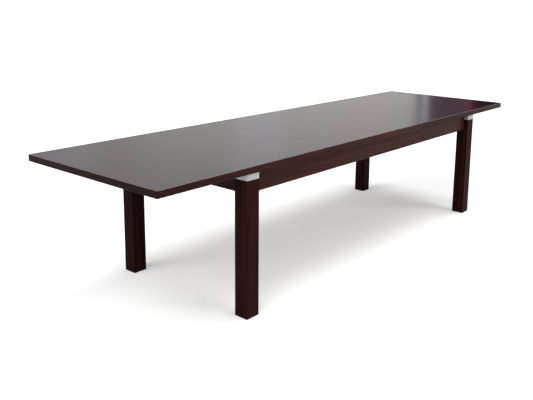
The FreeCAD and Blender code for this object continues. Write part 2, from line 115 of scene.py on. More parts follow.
def math_node(tree, operation, first, second):
    """One step of arithmetic on two sockets or numbers."""
    node = add_node(tree, "ShaderNodeMath", operation=operation)
    plug(tree, first, node.inputs[0])
    plug(tree, second, node.inputs[1])
    return node.outputs[0]


def mix_node(tree, factor, first, second):
    """Two colours mixed by a factor."""
    node = add_node(tree, "ShaderNodeMix", data_type="RGBA")
    plug(tree, factor, node.inputs[MIX_FACTOR])
    plug(tree, first, node.inputs[MIX_FIRST])
    plug(tree, second, node.inputs[MIX_SECOND])
    return node.outputs[MIX_RESULT]


print("node helpers ready")

# %% [markdown]
# ## Colours
# A shader works with linear light, while a colour read off a picture is not linear, so a dark brown
# typed in as it is comes out far too pale. The colours below are written as a picture editor shows
# them and are turned into linear ones here.

# %% Colours and ramps
def grey(value):
    """A grey of that brightness, as a colour."""
    return (value, value, value, 1.0)


def tone(red, green, blue):
    """A colour as a picture editor writes it, 0 to 255, turned into the linear values of a shader."""
    def linear(value):
        value /= 255
        return value / 12.92 if value <= 0.04045 else ((value + 0.055) / 1.055) ** 2.4
    return (linear(red), linear(green), linear(blue), 1.0)


def ramp_node(tree, factor, stops):
    """A colour ramp through (place, colour) stops."""
    node = add_node(tree, "ShaderNodeValToRGB")
    plug(tree, factor, node.inputs["Fac"])
    elements = node.color_ramp.elements
    while len(elements) < len(stops):
        elements.new(1.0)
    for element, (place, colour) in zip(elements, stops):
        element.position = place
        element.color = colour
    return node.outputs["Color"]


print("a middle brown in linear values:", tone(51, 25, 21))

# %% [markdown]
# ## The room in the lacquer
# Seen at a low angle the lacquered top is a mirror: most of what shows on it is the room behind.
# The room is pale, and one wall is dark, which is why the right end of the top is nearly black. A
# room could be modelled, but a tone for each compass direction does the same: a pale blue stretch and
# a few warm and cool ones keep the mirrored room from looking flat. A ramp is stored in 256 steps, too
# few for the thin pale and red lines at the dark wall, so that wall has its own ramp.

# %% Room tones
DARK, DARKEST = (0.110, 0.077, 0.108, 1.0), (0.001, 0.007, 0.026, 1.0)
DARK_RED = (0.38, 0.06, 0.08, 1.0)
BLUE_LIGHT, BLUE_GREY = (0.86, 0.91, 0.98, 1.0), (0.55, 0.56, 0.59, 1.0)
BLUE_DARK = (0.17, 0.19, 0.24, 1.0)
PALE_BLUE, COOL_GREY = (0.805, 0.82, 0.845, 1.0), (0.61, 0.63, 0.655, 1.0)
WARM_LIGHT, WARM_GREY = (0.785, 0.742, 0.732, 1.0), (0.585, 0.57, 0.56, 1.0)
COMPASS_TONES = (
    (-180.0, grey(0.20)), (-130.0, grey(0.50)), (-90.0, grey(0.95)), (-35.0, grey(1.00)), (5.0, grey(0.80)),
    (13.0, grey(0.50)), (34.0, WARM_LIGHT), (37.0, grey(0.77)), (39.3, grey(0.745)), (41.0, PALE_BLUE),
    (43.3, PALE_BLUE), (44.7, grey(0.71)), (51.0, grey(0.66)), (54.5, WARM_GREY), (57.7, COOL_GREY),
    (60.0, BLUE_GREY), (85.0, grey(0.45)), (125.0, grey(0.15)), (160.0, grey(0.12)), (180.0, grey(0.20)),
)
DARK_WALL_TONES = (
    (13.0, grey(0.50)), (17.2, grey(0.16)), (20.5, DARKEST), (24.74, DARKEST), (24.82, DARK_RED),
    (25.02, DARK_RED), (25.10, DARK), (28.1, DARK), (28.30, BLUE_GREY), (28.55, BLUE_LIGHT),
    (28.72, BLUE_DARK), (28.95, BLUE_DARK), (29.15, grey(0.56)), (29.8, grey(0.74)), (34.0, WARM_LIGHT),
)
print("room tones:", len(COMPASS_TONES), "and at the dark wall", len(DARK_WALL_TONES))

# %% [markdown]
# ## The world
# The world has three tasks: the camera sees plain white, mirrors see the room, and everything else
# gets an even grey light from all sides. The Light Path node tells the three kinds of ray apart. An
# even light has no bright spots to aim at, so the world isn't sampled as a lamp would be.

# %% World
ROOM_LIGHT = 0.20


def ray_kinds(tree):
    """Whether a ray comes from the camera, and whether it comes from a mirror or through glass."""
    path = add_node(tree, "ShaderNodeLightPath").outputs
    return path["Is Camera Ray"], math_node(
        tree, "MAXIMUM", path["Is Glossy Ray"], path["Is Transmission Ray"])


world = bpy.data.worlds.new("white_room")
scene.world = world
world.use_nodes = True
world.cycles.sampling_method = "NONE"
tree = world.node_tree
tree.nodes.clear()
camera_ray, mirror_ray = ray_kinds(tree)
direction = add_node(tree, "ShaderNodeSeparateXYZ")
plug(tree, add_node(tree, "ShaderNodeTexCoord").outputs["Generated"], direction.inputs[0])
bearing = math_node(tree, "ARCTAN2", direction.outputs["Y"], direction.outputs["X"])
degrees = math_node(tree, "MULTIPLY", bearing, math.degrees(1.0))


def room_tones(tree, degrees, tones):
    """A ramp over a stretch of the compass, from its first tone to its last."""
    start, end = tones[0][0], tones[-1][0]
    stretch = add_node(tree, "ShaderNodeMapRange", {"From Min": start, "From Max": end})
    plug(tree, degrees, stretch.inputs["Value"])
    return ramp_node(tree, stretch.outputs[0], [
        ((place - start) / (end - start), colour) for place, colour in tones])


at_dark_wall = math_node(
    tree, "MULTIPLY", math_node(tree, "GREATER_THAN", degrees, DARK_WALL_TONES[0][0]),
    math_node(tree, "LESS_THAN", degrees, DARK_WALL_TONES[-1][0]))
room = mix_node(tree, at_dark_wall, room_tones(tree, degrees, COMPASS_TONES),
                room_tones(tree, degrees, DARK_WALL_TONES))
lighting = mix_node(tree, mirror_ray, grey(ROOM_LIGHT), room)
sky = add_node(tree, "ShaderNodeBackground")
plug(tree, mix_node(tree, camera_ray, lighting, grey(1.0)), sky.inputs["Color"])
plug(tree, sky.outputs[0], add_node(tree, "ShaderNodeOutputWorld").inputs["Surface"])
print("world nodes:", len(tree.nodes))

# %% [markdown]
# ## The floor
# A plain white floor runs out of the picture, so no edge of it shows. Its paint catches the shadow,
# and a weak glow that only the camera and mirrors see lifts it to the white of the background. From
# below it lets the view through, so that the underside of the table can be looked at.

# %% Floor
FLOOR_HALF = 60.0
FLOOR_PAINT = grey(0.80)
FLOOR_GLOW = 0.24

mesh = bmesh.new()
bmesh.ops.create_grid(mesh, x_segments=1, y_segments=1, size=FLOOR_HALF)
floor_mesh = bpy.data.meshes.new("studio_floor")
mesh.to_mesh(floor_mesh)
mesh.free()
floor = bpy.data.objects.new("studio_floor", floor_mesh)
scene.collection.objects.link(floor)

floor_paint = bpy.data.materials.new("floor_paint")
floor_paint.use_nodes = True
tree = floor_paint.node_tree
tree.nodes.clear()
camera_ray, mirror_ray = ray_kinds(tree)
paint = add_node(tree, "ShaderNodeBsdfDiffuse", {"Color": FLOOR_PAINT})
glow = add_node(tree, "ShaderNodeEmission", {"Color": grey(1.0)})
plug(tree, math_node(tree, "MULTIPLY", math_node(tree, "MAXIMUM", camera_ray, mirror_ray), FLOOR_GLOW),
     glow.inputs["Strength"])
both = add_node(tree, "ShaderNodeAddShader")
plug(tree, paint.outputs[0], both.inputs[0])
plug(tree, glow.outputs[0], both.inputs[1])
from_below = add_node(tree, "ShaderNodeMixShader")
plug(tree, add_node(tree, "ShaderNodeNewGeometry").outputs["Backfacing"], from_below.inputs["Fac"])
plug(tree, both.outputs[0], from_below.inputs[1])
plug(tree, add_node(tree, "ShaderNodeBsdfTransparent").outputs[0], from_below.inputs[2])
plug(tree, from_below.outputs[0], add_node(tree, "ShaderNodeOutputMaterial").inputs["Surface"])
floor_mesh.materials.append(floor_paint)
print("floor:", 2 * FLOOR_HALF, "m square")

# %% [markdown]
# ## Light
# The long side towards the camera is the brightest side, the end is darker, and a soft shadow lies
# under the table. Wide suns do the work of large soft boxes: a very wide one on the left, which lights
# the end and lets the shadow fade there, one high on the right, and one in front for the long side.
# Area lamps would do too, but their light fades with distance, and the floor would turn grey away
# from them. The suns are hidden from mirrors, as a bright disc in the lacquer would turn the top
# white from some sides. Each has a direction, a width in degrees and a brightness.

# %% Soft light
LAMP_DISTANCE = 5.0
SUNS = {
    "left_light": ((-0.74, -0.10, 0.66), 60.0, 0.92),
    "right_light": ((0.38, -0.10, 0.92), 30.0, 0.50),
    "front_light": ((0.15, -0.86, 0.48), 40.0, 0.48),
}


def soft_sun(name, towards_lamp, width, brightness):
    """A sun as wide as a soft box; at a brightness of 1 it shows a colour facing it as it is written."""
    data = bpy.data.lights.new(name, "SUN")
    data.angle = math.radians(width)
    data.energy = math.pi * brightness
    lamp = bpy.data.objects.new(name, data)
    lamp.rotation_euler = (-Vector(towards_lamp)).to_track_quat("-Z", "Y").to_euler()
    lamp.location = LAMP_DISTANCE * Vector(towards_lamp)
    lamp.visible_glossy = False
    scene.collection.objects.link(lamp)
    return lamp


lamps = [soft_sun(name, *sun) for name, sun in SUNS.items()]
print("lights:", [lamp.name for lamp in lamps])

# %% [markdown]
# ## The run of the grain
# Grain follows the length of a board: along the top, up the legs. A picture of wood would be quicker
# than noise, but noise in the object's own coordinates has no seams and goes round the edges. So the
# coordinates are put in an order where the first one runs along the grain, and each board starts at
# another place in the noise, so that no two are alike.

# %% Run of the grain
GRAIN_ORDER = {"X": "XYZ", "Y": "YXZ", "Z": "ZXY"}
BOARD_STEP = (3.7, 1.9, 0.8)


def turned(tree, parts, order):
    """The coordinates in another order, so that the first runs along the grain."""
    node = add_node(tree, "ShaderNodeCombineXYZ")
    for socket, axis in zip(node.inputs, order):
        plug(tree, parts.outputs[axis], socket)
    return node.outputs[0]


def grain_space(tree, grain, board):
    """Object coordinates in the order of the grain, started at the board's own place."""
    parts = add_node(tree, "ShaderNodeSeparateXYZ")
    plug(tree, add_node(tree, "ShaderNodeTexCoord").outputs["Object"], parts.inputs[0])
    start = [board * step for step in BOARD_STEP]
    moved = add_node(tree, "ShaderNodeMapping", {"Location": start})
    plug(tree, turned(tree, parts, GRAIN_ORDER[grain]), moved.inputs["Vector"])
    return moved.outputs[0]


print("grain orders:", GRAIN_ORDER)

# %% [markdown]
# ## Noise and relief
# Every finish here is made of stretched noise: long and thin for grain and brushing, even for felt
# and mottled zinc. The same noise that colours a surface also drives its gloss and its bumps, as a
# pore is darker, duller and lower than the wood round it. A scale says how often the noise changes in
# a metre, along the grain first and then across it.

# %% Noise and relief
def noise_layer(tree, space, scale, detail=3.0, rough=0.55, distortion=0.0):
    """Noise whose blotches are stretched by different scales along and across the grain."""
    stretch = add_node(tree, "ShaderNodeMapping", {"Scale": scale})
    plug(tree, space, stretch.inputs["Vector"])
    noise = add_node(tree, "ShaderNodeTexNoise", {
        "Scale": 1.0, "Detail": detail, "Roughness": rough, "Distortion": distortion})
    plug(tree, stretch.outputs[0], noise.inputs["Vector"])
    return noise.outputs["Fac"]


def spread(tree, value, low, high, new_low, new_high):
    """A value moved from one range to another and held inside it."""
    node = add_node(tree, "ShaderNodeMapRange", {
        "From Min": low, "From Max": high, "To Min": new_low, "To Max": new_high})
    plug(tree, value, node.inputs["Value"])
    return node.outputs[0]


def relief(tree, height, shader, strength, depth):
    """A height pattern turned into bumps on the surface."""
    node = add_node(tree, "ShaderNodeBump", {"Strength": strength, "Distance": depth})
    plug(tree, height, node.inputs["Height"])
    plug(tree, node.outputs[0], shader.inputs["Normal"])


print("noise helpers ready")

# %% [markdown]
# ## Dark stained wood
# All the wood that shows is stained a dark red-brown and lacquered. Four layers draw it: broad slow
# ribbons for the figure, thin streaks for the grain, finer threads, and short dark dashes for the
# pores. The lacquer is a little uneven, so its roughness is too. On the flat top the pores are nearly
# filled, and on the legs they are left open.

# %% Stained wood
RIBBONS, STREAKS = (0.55, 17.0, 17.0), (1.7, 95.0, 95.0)
THREADS, PORES = (5.0, 420.0, 420.0), (60.0, 1150.0, 1150.0)
LACQUER_CLOUDS = (2.2, 7.0, 7.0)
PORE_COLOUR = tone(14, 8, 8)
OPEN_PORES = 0.00012


def new_finish(name):
    """An empty material with its shader: returns the material, its node tree and the shader."""
    material = bpy.data.materials.new(name)
    material.use_nodes = True
    shader = material.node_tree.nodes["Principled BSDF"]
    return material, material.node_tree, shader


def stained_wood(name, grain, board, colours, gloss, pore_depth=OPEN_PORES):
    """Lacquered dark wood: three colours from deep to light, and gloss as (roughness, spread, mirror)."""
    deep, middle, light = colours
    roughness, unevenness, mirror = gloss
    material, tree, shader = new_finish(name)
    space = grain_space(tree, grain, board)
    ribbons = noise_layer(tree, space, RIBBONS, detail=3.0, distortion=0.35)
    streaks = noise_layer(tree, space, STREAKS, detail=4.0, rough=0.62)
    threads = noise_layer(tree, space, THREADS, detail=2.0)
    pores = noise_layer(tree, space, PORES, detail=1.0)
    figure = mix_node(tree, 0.55, ribbons, streaks)
    colour = ramp_node(tree, figure, [(0.34, deep), (0.50, middle), (0.66, light)])
    colour = mix_node(tree, spread(tree, threads, 0.35, 0.70, 0.0, 0.45), colour, deep)
    colour = mix_node(tree, spread(tree, pores, 0.60, 0.72, 0.0, 0.55), colour, PORE_COLOUR)
    plug(tree, colour, shader.inputs["Base Color"])
    cloudy = mix_node(tree, 0.5, noise_layer(tree, space, LACQUER_CLOUDS, detail=2.0), streaks)
    plug(tree, spread(tree, cloudy, 0.3, 0.7, roughness - unevenness, roughness + unevenness),
         shader.inputs["Roughness"])
    shader.inputs["Specular IOR Level"].default_value = mirror
    relief(tree, math_node(tree, "ADD", threads, pores), shader, 0.25, pore_depth)
    return material


print("stained wood ready")

# %% [markdown]
# ## The shape of a board
# Each board of the top is a veneered panel: lacquered veneer above, solid lippings round the edges
# and a plainer veneer below. A CAD panel is one solid with one finish, so it is modelled again here,
# the same size: a cube drawn out to the panel's box, its arrises rounded with a bevel, and then a
# finish for each face by the way that it points. The arrises at a seam are only just broken. A face
# that leans, between the upper side and an edge, counts as an upper arris.

# %% Board shape
OUTER_ROUND, SEAM_BREAK = 0.0020, 0.0015
ROUNDING_ERROR = 1e-5
LOWEST_ARRIS, HIGHEST_ARRIS = 0.1, 0.99
FACING_UP, FACING_END = 0.5, 0.7


def close_to(value, target):
    """True where two lengths are the same but for rounding."""
    return abs(value - target) < ROUNDING_ERROR


def board_shape(low, high, seams):
    """A board in a box, its outer arrises rounded and its upper arrises at the seams just broken."""
    bm = bmesh.new()
    bmesh.ops.create_cube(bm, size=1.0)
    bmesh.ops.scale(bm, vec=high - low, verts=bm.verts)
    bmesh.ops.translate(bm, vec=(low + high) / 2, verts=bm.verts)

    def at_seam(edge):
        return any(all(close_to(vert.co.x, x) for vert in edge.verts) for x in seams)

    bmesh.ops.bevel(bm, geom=[edge for edge in bm.edges if not at_seam(edge)], affect="EDGES",
                    offset=OUTER_ROUND, segments=4, profile=0.5, material=-1)
    upper = [edge for edge in bm.edges
             if at_seam(edge) and all(close_to(vert.co.z, high.z) for vert in edge.verts)]
    bmesh.ops.bevel(bm, geom=upper, affect="EDGES", offset=SEAM_BREAK, segments=1, profile=0.5, material=-1)
    return bm


def face_finish(face):
    """0: veneer above, 1: veneer below, 2: long lipping, 3: lipping at an end, 4: upper arris."""
    if LOWEST_ARRIS < face.normal.z < HIGHEST_ARRIS:
        return 4
    if abs(face.normal.z) > FACING_UP:
        return 0 if face.normal.z > 0 else 1
    return 3 if abs(face.normal.x) > FACING_END else 2


print("rounding:", OUTER_ROUND, "m, at the seams:", SEAM_BREAK, "m")

# %% [markdown]
# ## Worn arrises, with a painted highlight
# Hands and cloths rub the upper arrises of a table, so the stain gets thin there in patches and nicks.
# The paler line round the top is also a painted highlight: a pale grey stands in for the room mirrored
# in the rounded arris, and it shows where the lacquer mirrors something dark. A mask from the sharpness
# of the mesh could draw it; here the rounded faces get a finish of their own: the stained colour fades
# towards the pale grey in patches, with small nicks.

# %% Worn arrises
WORN_PATCHES, NICKS = (12.0, 12.0, 12.0), (150.0, 150.0, 150.0)
# The pale grey below is a painted highlight, standing in for the room mirrored in the rounded arris.
ARRIS_STAINED, ARRIS_PALE_HIGHLIGHT = tone(48, 29, 26), tone(112, 98, 96)


def arris_wear_and_highlight(name, stained, pale_highlight):
    """Stain rubbed thin along an arris in patches, with a painted highlight: a pale grey for mirrored
    light.
    """
    material, tree, shader = new_finish(name)
    place = add_node(tree, "ShaderNodeTexCoord").outputs["Object"]
    patches = noise_layer(tree, place, WORN_PATCHES, detail=3.0)
    nicks = noise_layer(tree, place, NICKS, detail=2.0)
    # Where the patches and nicks are high the pale grey shows: rubbed stain carrying a painted highlight.
    wear_and_highlight_mask = spread(tree, mix_node(tree, 0.4, patches, nicks), 0.38, 0.60, 0.15, 1.0)
    plug(tree, mix_node(tree, wear_and_highlight_mask, stained, pale_highlight), shader.inputs["Base Color"])
    plug(tree, spread(tree, patches, 0.3, 0.7, 0.22, 0.34), shader.inputs["Roughness"])
    shader.inputs["Specular IOR Level"].default_value = 0.7
    relief(tree, nicks, shader, 0.2, 0.0001)
    return material


ARRIS = arris_wear_and_highlight("arris_wear_and_highlight", ARRIS_STAINED, ARRIS_PALE_HIGHLIGHT)
print("arris finish:", ARRIS.name)

# %% [markdown]
# ## Veneers and lippings
# The veneer above has the glossiest lacquer, the lippings a dull one, and the veneer below is plain and
# only sealed. The long lippings were cut from different planks, so some edges are paler than others:
# for each board there is the place in the noise where its plank starts, and a number above 1 where
# the plank took less stain, or below 1 where it took more. The left half's plank and number are also
# painted light: its edge lightens towards its right end as the light along that edge does. The end
# lippings are darkened as painted shade, as the ends of the top get less light than the long side.

# %% Veneers and lippings
TOP_COLOURS = (tone(29, 16, 15), tone(42, 23, 22), tone(57, 31, 27))
LIPPING_COLOURS = (tone(24, 11, 10), tone(38, 18, 16), tone(57, 28, 23))
UNDER_COLOURS = (tone(44, 26, 22), tone(58, 35, 29), tone(72, 44, 36))
# The left half's plank and number make its edge lighten towards the right: painted light.
LONG_LIPPINGS = {"left_half": (7.24, 1.66), "leaf_left": (4.02, 1.54),
                 "leaf_right": (6.07, 2.19), "right_half": (9.03, 0.89)}
# The end lippings are darkened by this share as painted shade: the ends get less light.
END_PAINTED_SHADE = 0.72
TOP_GLOSS = (0.145, 0.03, 0.5)
LIPPING_GLOSS = (0.34, 0.05, 0.03)
UNDER_GLOSS = (0.62, 0.06, 0.20)
FILLED_PORES = 0.00002
END_START, UNDER_START = 0.3, 0.6


def scaled_colours(colours, amount):
    """The same colours, darker or lighter."""
    return [tuple(amount * value for value in colour[:3]) + (1.0,) for colour in colours]


def board_finishes(body, number):
    """The finishes of one board, in the order that face_finish counts them."""
    plank, amount = LONG_LIPPINGS[body]
    # The end lippings get the painted shade; the long ones keep their planks' own tone.
    long_colours, end_colours = scaled_colours(LIPPING_COLOURS, amount), scaled_colours(LIPPING_COLOURS, END_PAINTED_SHADE)
    return [
        stained_wood(body + "_veneer", "X", number, TOP_COLOURS, TOP_GLOSS, FILLED_PORES),
        stained_wood(body + "_underside", "X", number + UNDER_START, UNDER_COLOURS, UNDER_GLOSS),
        stained_wood(body + "_long_lipping", "X", plank, long_colours, LIPPING_GLOSS),
        stained_wood(body + "_end_lipping", "Y", number + END_START, end_colours, LIPPING_GLOSS),
        ARRIS,
    ]


print("boards:", list(LONG_LIPPINGS))

# %% [markdown]
# ## The four boards of the top
# A left half, two leaves and a right half lie in a row. When the table is set up they are pushed tight
# together: each is drawn a quarter of a millimetre longer at its seams, so no light shines through.
# A board takes the place of its CAD panel, rides on the same body and moves with it. Its small faces
# are the rounded ones, so only these are shaded smooth.

# %% Boards
SEAM_CLOSING = 0.00028
FLAT_FACE_AREA = 0.005


def make_piece(name, bm, materials, body):
    """A finished piece from a bmesh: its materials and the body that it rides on."""
    data = bpy.data.meshes.new(name)
    bm.to_mesh(data)
    bm.free()
    for material in materials:
        data.materials.append(material)
    piece = bpy.data.objects.new(name, data)
    scene.collection.objects.link(piece)
    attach(piece, body)
    return piece


for number, body in enumerate(LONG_LIPPINGS, start=1):
    low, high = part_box(body + "_panel")
    low.x -= 0.0 if body == "left_half" else SEAM_CLOSING
    high.x += 0.0 if body == "right_half" else SEAM_CLOSING
    seams = {"left_half": [high.x], "right_half": [low.x]}.get(body, [low.x, high.x])
    bm = board_shape(low, high, seams)
    for face in bm.faces:
        face.material_index = face_finish(face)
        face.smooth = face.calc_area() < FLAT_FACE_AREA
    board = make_piece(body + "_board", bm, board_finishes(body, number), body)
    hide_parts(body + "_panel")
    print(board.name, "from", tuple(low), "to", tuple(high))

# %% [markdown]
# ## Legs and aprons
# The legs are square posts and the aprons are boards on edge between them. Their CAD shapes are
# right, rounded arrises and all, so they only get a finish. The grain goes up the legs and along the
# aprons. Each one has a plank and a number for its colour, as the lippings have: planks take stain
# differently. The two end aprons are darker as painted shade, for the less light at the ends under the
# overhanging top. Legs and aprons have a duller lacquer than the top, so they mirror almost nothing.

# %% Legs and aprons
def give(names, material):
    """Puts a finish on CAD nodes, in their material slots."""
    for name in names:
        data = nodes[name].data
        if not data.materials:
            data.materials.append(None)
        for index in range(len(data.materials)):
            data.materials[index] = material


LEG_PLANKS = {"front_left": (5.0, 1.0), "front_right": (6.74, 0.90),
              "back_left": (7.74, 0.82), "back_right": (8.74, 0.95)}
LEG_COLOURS = (tone(21, 9, 8), tone(36, 15, 14), tone(52, 23, 20))
LEG_GLOSS = (0.40, 0.05, 0.012)
for corner, (plank, amount) in LEG_PLANKS.items():
    give(["leg_" + corner],
         stained_wood("leg_wood_" + corner, "Z", plank, scaled_colours(LEG_COLOURS, amount), LEG_GLOSS))

APRON_COLOURS = (tone(35, 16, 14), tone(51, 25, 21), tone(72, 35, 27))
APRON_GLOSS = (0.36, 0.05, 0.035)
# The end aprons' 0.72 is painted shade, for the less light they get under the overhanging top.
APRON_PLANKS = {"front": ("X", 13.61, 0.94), "back": ("X", 10.0, 1.0),
                "left": ("Y", 11.0, 0.72), "right": ("Y", 12.0, 0.72)}
for side, (grain, plank, amount) in APRON_PLANKS.items():
    give(["apron_" + side],
         stained_wood("apron_wood_" + side, grain, plank, scaled_colours(APRON_COLOURS, amount), APRON_GLOSS))
print("legs and aprons finished")

# %% [markdown]
# ## Satin aluminium
# A square aluminium collar sits at the head of each leg, and two drawn channels guide the halves.
# The collar was brushed round the leg and then anodised, so it has fine level scratches, and its dull
# skin scatters as much light as it mirrors: it is only partly metallic here. The scratches are noise
# stretched along the brushing and squeezed across it; on the channels they follow the length.

# %% Collars and channels
COLLAR_COLOUR, CHANNEL_COLOUR = tone(170, 173, 171), tone(196, 198, 200)
LEVEL_BRUSHING, LONG_BRUSHING = (9.0, 9.0, 1300.0), (3.0, 900.0, 900.0)
METAL_STAINS = (9.0, 9.0, 9.0)
DULLED = 0.72
GLOSS_SWING = 0.07


def brushed_metal(name, colour, roughness, scale, metallic=1.0, lines=0.35, depth=0.00003):
    """Bare metal with fine scratches; the scale is small along them and large across them."""
    material, tree, shader = new_finish(name)
    place = add_node(tree, "ShaderNodeTexCoord").outputs["Object"]
    scratches = noise_layer(tree, place, scale, detail=3.0, rough=0.7)
    stains = noise_layer(tree, place, METAL_STAINS, detail=2.0)
    dull = scaled_colours([colour], DULLED)[0]
    plug(tree, mix_node(tree, spread(tree, scratches, 0.35, 0.65, 0.0, lines), colour, dull),
         shader.inputs["Base Color"])
    uneven = mix_node(tree, 0.6, stains, scratches)
    plug(tree, spread(tree, uneven, 0.3, 0.7, roughness - GLOSS_SWING, roughness + GLOSS_SWING),
         shader.inputs["Roughness"])
    shader.inputs["Metallic"].default_value = metallic
    relief(tree, scratches, shader, 0.2, depth)
    return material


give(["collar_" + corner for corner in LEG_PLANKS],
     brushed_metal("satin_aluminium", COLLAR_COLOUR, 0.46, LEVEL_BRUSHING, metallic=0.35, lines=0.95))
give(["guide_channel_front", "guide_channel_back"],
     brushed_metal("drawn_aluminium", CHANNEL_COLOUR, 0.33, LONG_BRUSHING))
print("aluminium finished")

# %% [markdown]
# ## Beech under the top
# The runners, the battens under the leaves and the rails across the frame are plain beech with a
# clear lacquer. They show from below and when the leaves are lifted out. Beech has a quiet grain and
# short dark flecks, so soft bands and a layer of dashes are enough.

# %% Beech
BEECH_BANDS, FLECKS = (0.9, 26.0, 26.0), (300.0, 2600.0, 2600.0)
BEECH_COLOURS = (tone(172, 128, 88), tone(194, 152, 110), tone(208, 170, 128))
FLECK_COLOUR = tone(136, 92, 60)


def beech(name, grain, board):
    """Pale straight-grained wood with the short dark flecks of beech."""
    material, tree, shader = new_finish(name)
    space = grain_space(tree, grain, board)
    bands = noise_layer(tree, space, BEECH_BANDS, detail=3.0, distortion=0.2)
    flecks = noise_layer(tree, space, FLECKS, detail=0.0)
    colour = ramp_node(tree, bands, list(zip((0.3, 0.5, 0.7), BEECH_COLOURS)))
    colour = mix_node(tree, spread(tree, flecks, 0.60, 0.74, 0.0, 0.42), colour, FLECK_COLOUR)
    plug(tree, colour, shader.inputs["Base Color"])
    plug(tree, spread(tree, bands, 0.3, 0.7, 0.48, 0.60), shader.inputs["Roughness"])
    relief(tree, flecks, shader, 0.2, 0.0001)
    return material


LENGTHWISE = [half + "_half_runner_" + side for half in ("left", "right") for side in ("front", "back")]
CROSSWISE = ["leaf_left_battens", "leaf_right_battens", "cross_rail_left", "cross_rail_middle",
             "cross_rail_right"]
FIRST_PLANK = 13
for plank, name in enumerate(LENGTHWISE + CROSSWISE, start=FIRST_PLANK):
    give([name], beech("beech_" + name, "X" if name in LENGTHWISE else "Y", plank))
print("beech parts:", len(LENGTHWISE) + len(CROSSWISE))

# %% [markdown]
# ## Plated steel
# Screws, bolts, corner plates and catches are zinc plated: a cool grey, and on the catches a warmer
# and smoother one. A bath leaves plating a little cloudy, so a soft mottle changes its colour and
# gloss, and a very fine grain keeps it from looking like a mirror.

# %% Steel
MOTTLE, PLATING_GRAIN = (60.0, 60.0, 60.0), (900.0, 900.0, 900.0)
SMOOTHER, DULLER = 0.06, 0.08


def plated_steel(name, colour, shadow, roughness):
    """Zinc plated steel, a little mottled by the bath."""
    material, tree, shader = new_finish(name)
    place = add_node(tree, "ShaderNodeTexCoord").outputs["Object"]
    mottle = noise_layer(tree, place, MOTTLE, detail=4.0)
    grain = noise_layer(tree, place, PLATING_GRAIN, detail=1.0)
    plug(tree, mix_node(tree, spread(tree, mottle, 0.35, 0.65, 0.0, 1.0), colour, shadow),
         shader.inputs["Base Color"])
    plug(tree, spread(tree, mottle, 0.3, 0.7, roughness - SMOOTHER, roughness + DULLER),
         shader.inputs["Roughness"])
    shader.inputs["Metallic"].default_value = 1.0
    relief(tree, grain, shader, 0.15, 0.00005)
    return material


zinc = plated_steel("zinc_plate", tone(190, 194, 200), tone(172, 175, 175), 0.36)
catch_zinc = plated_steel("catch_plate", tone(178, 174, 167), tone(166, 162, 156), 0.28)
CATCHES = [seam + "_" + side for seam in ("left", "middle", "right") for side in ("front", "back")]
give(["corner_plate_" + corner for corner in LEG_PLANKS], zinc)
give(["leg_bolts", "leg_nuts", "channel_screws"], zinc)
give([half + "_half_runner_screws" for half in ("left", "right")], zinc)
give(["catch_lever_" + catch for catch in CATCHES], catch_zinc)
give([half + "_half_catch_bases" for half in ("left", "right")], catch_zinc)
give(["leaf_left_catch_bases", "leaf_left_keepers", "leaf_right_keepers"], catch_zinc)
print("steel parts finished")

# %% [markdown]
# ## Nylon, plastic and felt
# The halves slide on white nylon shoes and on felt strips, and black plastic stops end their travel;
# the feet are black plastic too. All three finishes share one recipe, a faint clouding and a fine
# relief: shallow for a moulding, deep and rough for the nap of felt, which also gets some sheen.

# %% Nylon, plastic and felt
FAINT_CLOUDS = (25.0, 25.0, 25.0)
POLISHED, ROUGHENED = 0.05, 0.08


def clouded(name, light, dark, roughness, fineness, depth):
    """A moulded or pressed surface: two tones in faint clouds, and a grain as fine and deep as given."""
    material, tree, shader = new_finish(name)
    place = add_node(tree, "ShaderNodeTexCoord").outputs["Object"]
    clouds = noise_layer(tree, place, FAINT_CLOUDS, detail=2.0)
    grain = noise_layer(tree, place, (fineness, fineness, fineness), detail=2.0)
    plug(tree, mix_node(tree, clouds, light, dark), shader.inputs["Base Color"])
    plug(tree, spread(tree, grain, 0.3, 0.7, roughness - POLISHED, roughness + ROUGHENED),
         shader.inputs["Roughness"])
    relief(tree, grain, shader, 0.3, depth)
    return material, shader


nylon, _ = clouded("white_nylon", tone(228, 226, 218), tone(214, 211, 200),
                   roughness=0.42, fineness=900.0, depth=0.00004)
plastic, _ = clouded("black_plastic", tone(30, 30, 31), tone(20, 20, 21),
                     roughness=0.5, fineness=1100.0, depth=0.00008)
felt, felt_shader = clouded("black_felt", tone(44, 42, 41), tone(28, 26, 26),
                            roughness=0.92, fineness=1500.0, depth=0.0004)
felt_shader.inputs["Sheen Weight"].default_value = 0.4
give(["left_half_shoes", "right_half_shoes"], nylon)
give(["channel_stops"] + ["foot_glide_" + corner for corner in LEG_PLANKS], plastic)
give(["glide_strip_" + side for side in ("front", "back", "left", "right")], felt)
print("nylon, plastic and felt finished")

# %% [markdown]
# ## One screw
# Pan headed screws hold the corner plates to the aprons, the battens to the leaves and the catch
# plates to the boards. A bump map could hint at them, but a real shape also shows in its shadow. A
# disc is drawn up, its rim is rounded, and a cross is cut into its face with planes and sunk. The
# rounding and the recess are shares of the head's height and radius, so one shape gives both sizes.

# %% One screw
HEAD_SIDES = 20
RIM_ROUND, SUNK = 0.55, 0.7
ARM_REACH, ARM_WIDTH = 0.52, 0.13
UPRIGHT, LEVEL = 0.05, 0.99


def corners(geometry):
    """The vertices in what an extrusion gives back."""
    return [item for item in geometry if isinstance(item, bmesh.types.BMVert)]


